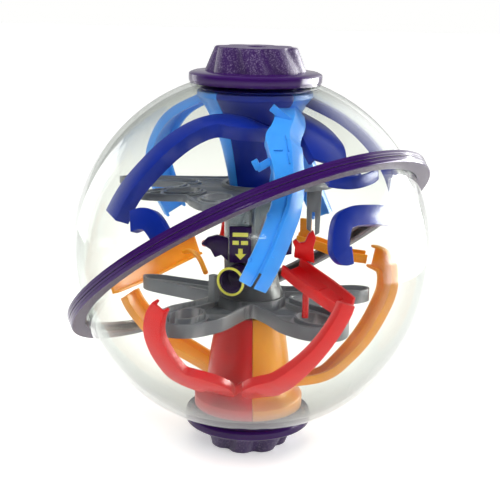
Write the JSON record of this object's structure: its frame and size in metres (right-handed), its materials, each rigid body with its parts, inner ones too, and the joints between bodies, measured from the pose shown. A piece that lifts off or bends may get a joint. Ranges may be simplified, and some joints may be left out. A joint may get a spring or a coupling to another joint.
{
  "type": "maze ball puzzle",
  "caption": "Clear ball held by a tilted clamp ring around coloured maze tracks, which fluted knobs at the poles turn while a steel ball runs inside.",
  "frame": {"origin": "centre of the clear ball, midway between the two knob faces", "axes": "+Z through both knobs towards the top knob; the label and target face -Y"},
  "size_m": [0.1998, 0.1998, 0.2264],
  "materials": {
    "clear_shell": "clear moulded styrene",
    "purple_knob": "spark-eroded texture on the grip, smooth rim",
    "purple_ring": "smooth edge, textured faces",
    "screw_steel": "plated steel",
    "ball_steel": "polished steel",
    "dark_blue": "glossy moulded plastic",
    "light_blue": "glossy moulded plastic",
    "grey": "satin moulded plastic",
    "smoke": "smoky tinted plastic",
    "purple_label": "glossy moulded plastic",
    "yellow": "matte moulded plastic",
    "red": "glossy moulded plastic",
    "orange": "glossy, slightly translucent moulded plastic"
  },
  "bodies": {
    "casing": {"upper_shell": "clear_shell", "lower_shell": "clear_shell", "upper_ring": "purple_ring", "lower_ring": "purple_ring", "ring_screw_1": "screw_steel", "ring_screw_2": "screw_steel", "ring_screw_3": "screw_steel", "ring_screw_4": "screw_steel", "ring_screw_5": "screw_steel", "ring_screw_6": "screw_steel"},
    "upper_maze": {"top_knob": "purple_knob", "dark_blue_neck": "dark_blue", "light_blue_neck": "light_blue", "upper_knob_screw_1": "screw_steel", "upper_knob_screw_2": "screw_steel", "upper_glide_ring": "grey", "arch_track": "dark_blue", "arch_branch": "dark_blue", "beam_track": "dark_blue", "fan_panel": "dark_blue", "bowl_track": "dark_blue", "hook_track": "dark_blue", "front_rail": "light_blue", "side_rail": "light_blue", "back_rail": "light_blue"},
    "middle_maze": {"middle_hub": "grey", "smoky_dome": "smoke", "upper_wheel": "grey", "lower_wheel": "grey", "target_cup": "purple_label", "target_rim": "yellow", "label_plate": "purple_label", "left_wing": "purple_label", "right_wing": "purple_label", "hub_post": "grey", "hanging_fork": "grey", "axle": "screw_steel", "upper_axle_nut": "screw_steel", "lower_axle_nut": "screw_steel"},
    "lower_maze": {"bottom_knob": "purple_knob", "red_neck": "red", "orange_neck": "orange", "lower_knob_screw_1": "screw_steel", "lower_knob_screw_2": "screw_steel", "lower_glide_ring": "grey", "red_left_arm": "red", "red_right_arm": "red", "red_ramp": "red", "red_crown": "red", "red_post": "red", "red_prong": "red", "orange_arc": "orange", "orange_crook": "orange", "orange_prong": "orange", "orange_left_arm": "orange", "orange_left_band": "orange", "orange_hoop": "orange"},
    "ball": {"steel_ball": "ball_steel"}
  },
  "joints": [
    {"name": "top_knob_turn", "type": "hinge", "parent": "casing", "child": "upper_maze", "pos_m": [0, 0, 0.1], "axis": [0, 0, 1], "continuous": true},
    {"name": "middle_turn", "type": "hinge", "parent": "casing", "child": "middle_maze", "pos_m": [0, 0, 0], "axis": [0, 0, 1], "continuous": true},
    {"name": "bottom_knob_turn", "type": "hinge", "parent": "casing", "child": "lower_maze", "pos_m": [0, 0, -0.1], "axis": [0, 0, 1], "continuous": true},
    {"name": "ball_roll", "type": "hinge", "parent": "casing", "child": "ball", "pos_m": [0, 0, -0.085], "axis": [0, 0, 1], "continuous": true}
  ]
}
